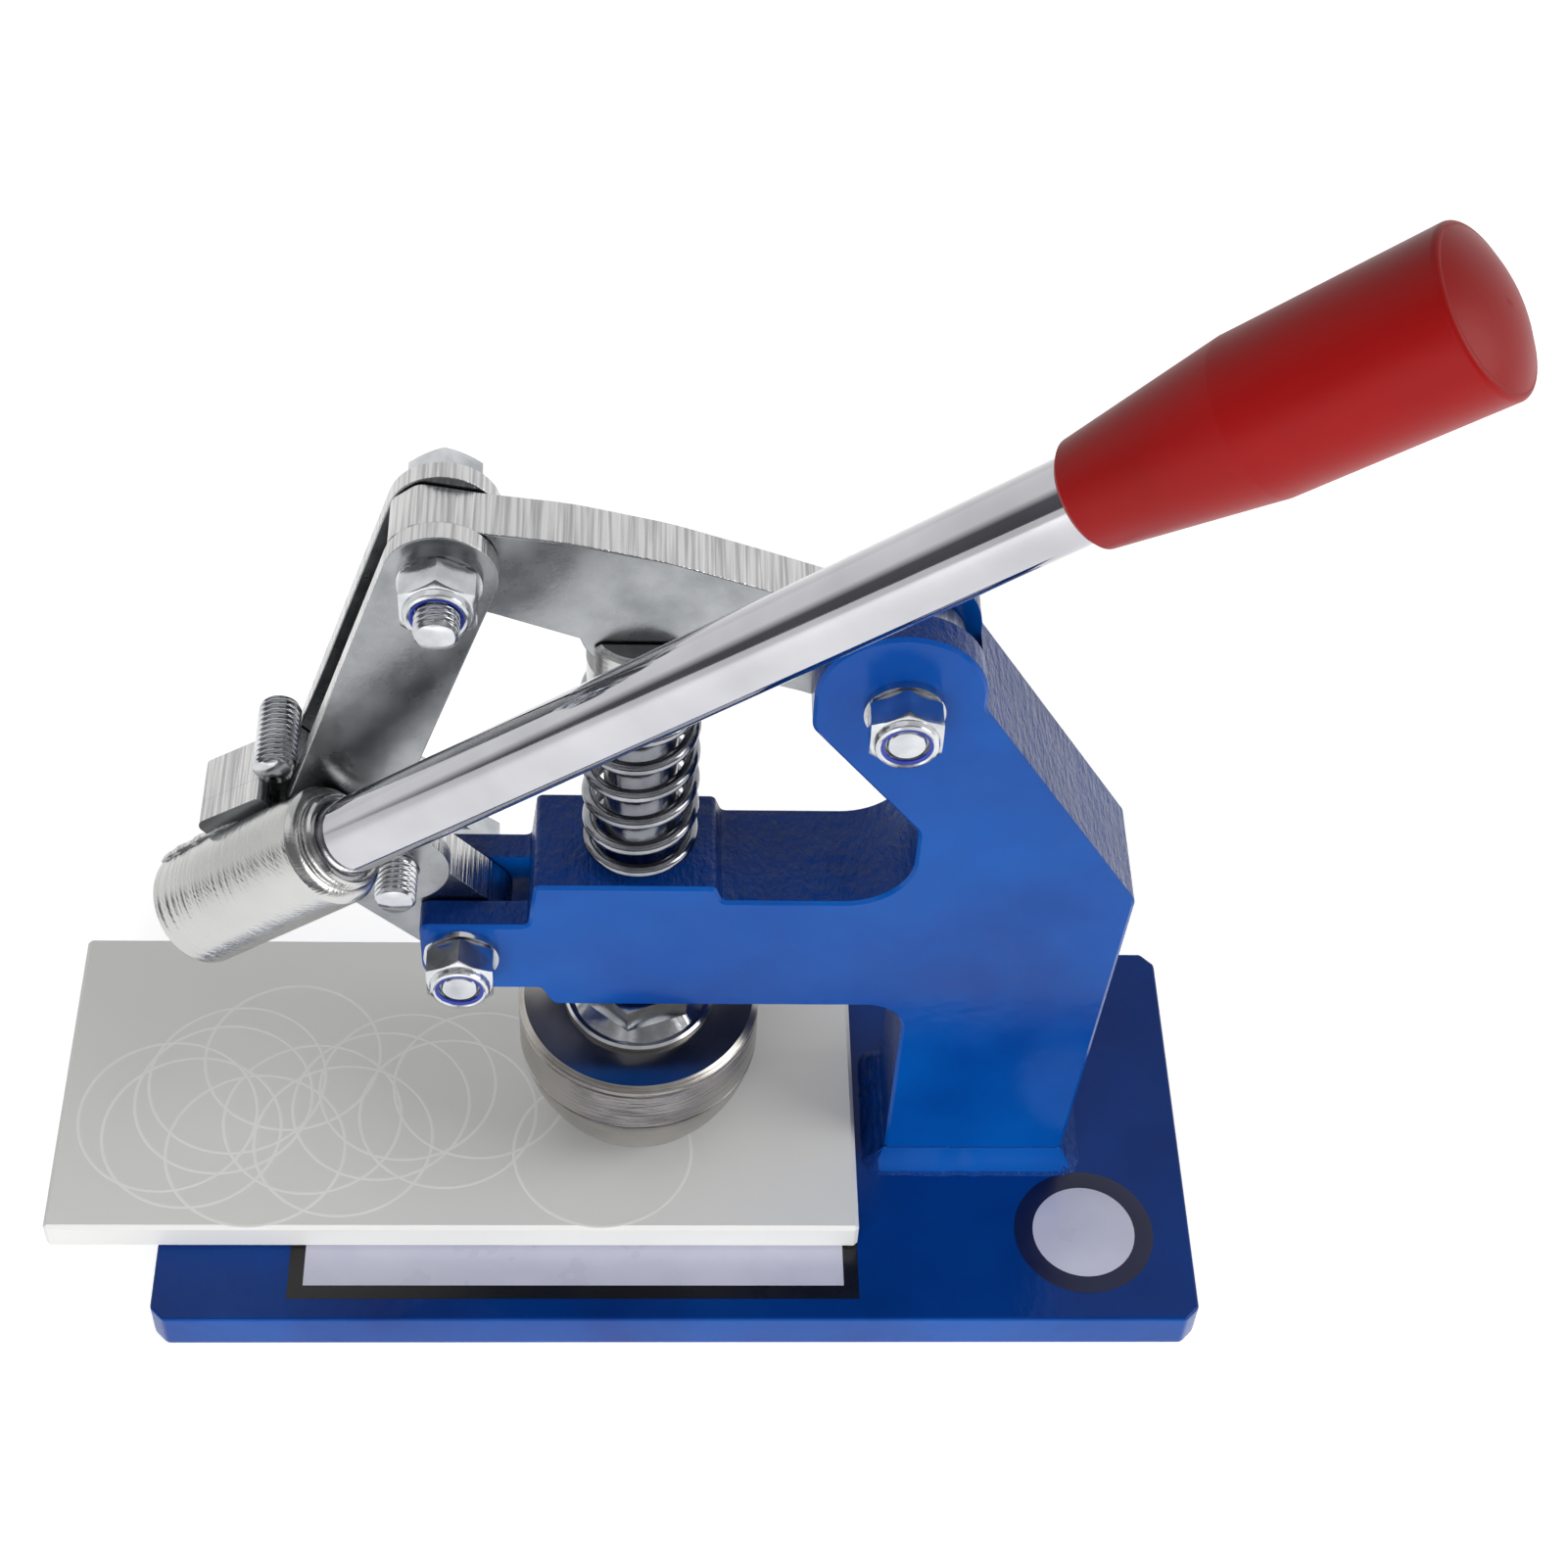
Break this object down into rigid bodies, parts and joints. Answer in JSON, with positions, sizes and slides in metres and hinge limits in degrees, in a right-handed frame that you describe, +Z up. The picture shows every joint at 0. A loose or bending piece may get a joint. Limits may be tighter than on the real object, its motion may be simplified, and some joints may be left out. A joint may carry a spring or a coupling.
{
  "type": "hand toggle press",
  "caption": "Hand lever toggle press on a steel base: handle crank, bent links and rocker drive a sprung plunger with a round cutting die onto a cutting board.",
  "frame": {"origin": "middle of the base plate's underside", "axes": "+X along the base towards the column, +Y away from the operator, +Z up"},
  "size_m": [0.2458, 0.1169, 0.303],
  "materials": {
    "blue_paint": "gloss",
    "zinc": "satin",
    "zinc_plate": "satin",
    "turned_zinc": "satin",
    "chrome": "polished",
    "red_plastic": "gloss",
    "ground_steel": "satin",
    "die_steel": "satin",
    "spring_steel": "satin",
    "board_plastic": "matte"
  },
  "bodies": {
    "frame": {"base_plate": "blue_paint", "c_frame": "blue_paint", "foot_weld": "blue_paint", "pivot_bolts": "zinc", "pivot_lock_nuts": "zinc", "pivot_washers": "zinc", "return_spring": "spring_steel"},
    "crank": {"crank_plate": "zinc_plate", "stop_pin": "zinc", "socket_pad": "zinc_plate", "link_pin": "zinc", "handle_socket": "turned_zinc", "lock_ring": "turned_zinc", "handle_rod": "chrome", "handle_grip": "red_plastic"},
    "links": {"link_front": "zinc_plate", "link_rear": "zinc_plate", "link_bolt": "zinc", "link_lock_nut": "zinc", "link_washers": "zinc"},
    "rocker": {"rocker_arm": "zinc_plate"},
    "plunger": {"plunger_shaft": "ground_steel", "plunger_head": "turned_zinc", "die_nut": "zinc", "cutting_die": "die_steel"},
    "board": {"cutting_board": "board_plastic"}
  },
  "joints": [
    {"name": "crank_turn", "type": "hinge", "parent": "frame", "child": "crank", "pos_m": [-0.044, 0.004, 0.084], "axis": [0, -1, 0], "range_deg": [0, 34.33]},
    {"name": "link_turn", "type": "hinge", "parent": "crank", "child": "links", "pos_m": [-0.0554, 0.004, 0.107], "axis": [0, -1, 0], "range_deg": [-40.5, 1]},
    {"name": "rocker_turn", "type": "hinge", "parent": "frame", "child": "rocker", "pos_m": [0.0382, 0.004, 0.158], "axis": [0, -1, 0], "range_deg": [-0.5, 8.5]},
    {"name": "plunger_slide", "type": "slide", "parent": "frame", "child": "plunger", "axis": [0, 0, -1], "range_m": [-0.0002, 0.0072], "stiffness_N_per_m": 800, "springref_m": -0.012, "deforming": ["return_spring"]},
    {"name": "board_slide", "type": "slide", "parent": "frame", "child": "board", "axis": [1, 0, 0], "range_m": [-0.04, 0.001]}
  ],
  "couplings": [
    {"joint": "link_turn", "follows": "crank_turn", "ratio": -1.1617},
    {"joint": "rocker_turn", "follows": "crank_turn", "ratio": 0.2391},
    {"joint": "plunger_slide", "follows": "crank_turn", "m_per_rad": 0.011682}
  ]
}
